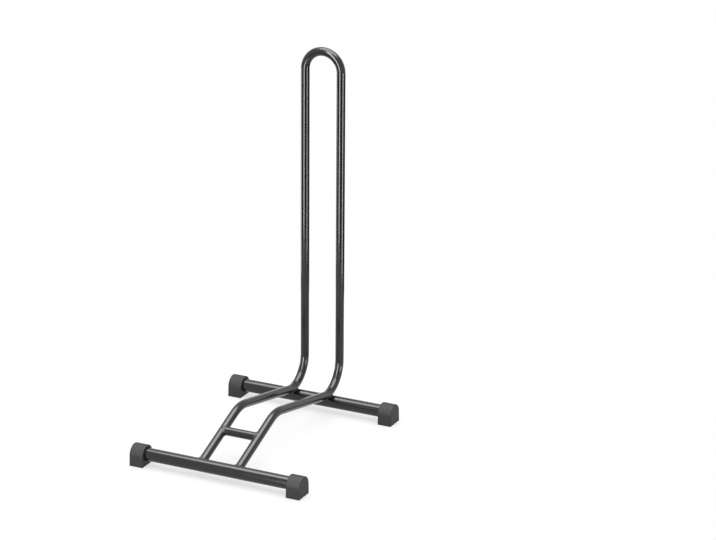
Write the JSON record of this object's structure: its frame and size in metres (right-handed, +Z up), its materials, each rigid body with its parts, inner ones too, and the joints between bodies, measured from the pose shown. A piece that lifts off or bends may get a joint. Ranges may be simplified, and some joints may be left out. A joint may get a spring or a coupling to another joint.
{
  "type": "hoop bike rack",
  "caption": "Free-standing floor rack that holds a bicycle upright by one wheel, between two rails and inside a tall narrow tubular hoop, on rubber feet.",
  "frame": {"origin": "on the floor, under the middle of the rack's outline", "axes": "+Z up, X along the cross tubes, +Y from the front, where the wheel rolls in, to the back, where the hoop stands"},
  "size_m": [0.361, 0.4642, 0.7319],
  "materials": {
    "frame_paint": "dark anthracite powder coat, satin to semi-gloss, fine orange peel",
    "foot_rubber": "matt dark grey moulded rubber"
  },
  "bodies": {
    "root": {"hoop_tube": "frame_paint", "front_cross_tube": "frame_paint", "rear_cross_tube": "frame_paint", "rail_rung": "frame_paint", "front_left_weld": "frame_paint", "front_right_weld": "frame_paint", "rear_left_weld": "frame_paint", "rear_right_weld": "frame_paint", "rung_left_weld": "frame_paint", "rung_right_weld": "frame_paint", "front_left_foot": "foot_rubber", "front_right_foot": "foot_rubber", "rear_left_foot": "foot_rubber", "rear_right_foot": "foot_rubber"}
  },
  "joints": []
}
